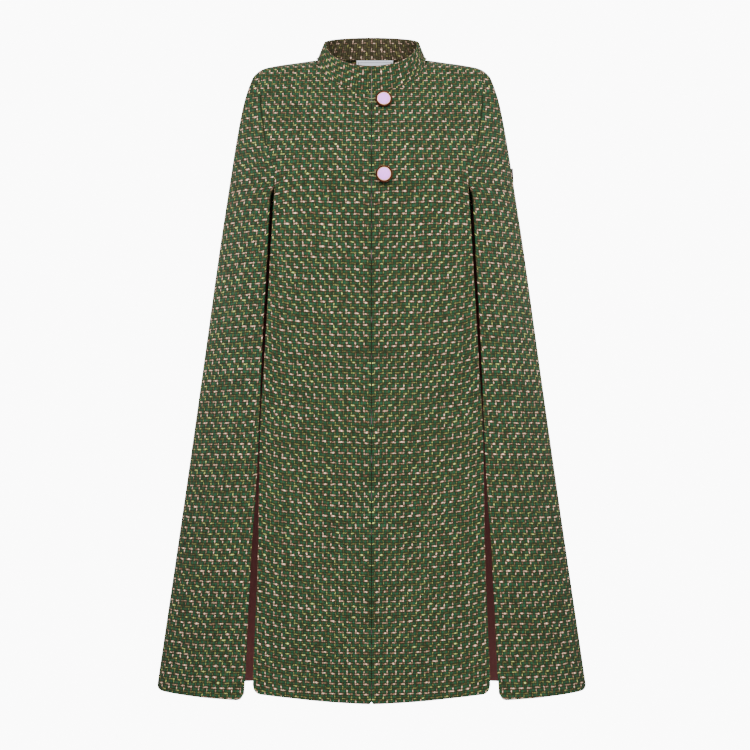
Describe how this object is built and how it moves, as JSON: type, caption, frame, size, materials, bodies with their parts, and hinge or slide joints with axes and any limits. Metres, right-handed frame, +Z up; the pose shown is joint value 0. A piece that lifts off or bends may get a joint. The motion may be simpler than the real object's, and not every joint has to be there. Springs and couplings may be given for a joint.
{
  "type": "tweed cape",
  "caption": "Hollow knee-length tweed cape with a stand collar, edge-to-edge front, buttons with thread loops and long arm slits between the fronts and the side panels.",
  "frame": {"origin": "on the centre plane, at the height where the neck seam crosses the shoulder seams", "axes": "+X to the wearer's left, -Y to the front, +Z up"},
  "size_m": [0.6498, 0.29, 0.9858],
  "materials": {
    "tweed": "coarse woven wool tweed",
    "lining": "smooth burgundy lining with a soft sheen",
    "label": "plain pale woven label",
    "tab": "plain dark plum woven tab",
    "button_rim": "dark copper enamel, satin",
    "button_face": "lilac pearl",
    "thread": "twisted sewing thread"
  },
  "bodies": {
    "root": {"front_left": "tweed", "front_right": "tweed", "side_left": "tweed", "side_right": "tweed", "back": "tweed", "collar": "tweed", "lining_front_left": "lining", "lining_front_right": "lining", "lining_side_left": "lining", "lining_side_right": "lining", "lining_back": "lining", "neck_label": "label", "arm_tab": "tab", "button_upper_rim": "button_rim", "button_upper_face": "button_face", "button_lower_rim": "button_rim", "button_lower_face": "button_face", "loop_upper": "thread", "loop_lower": "thread"}
  },
  "joints": []
}
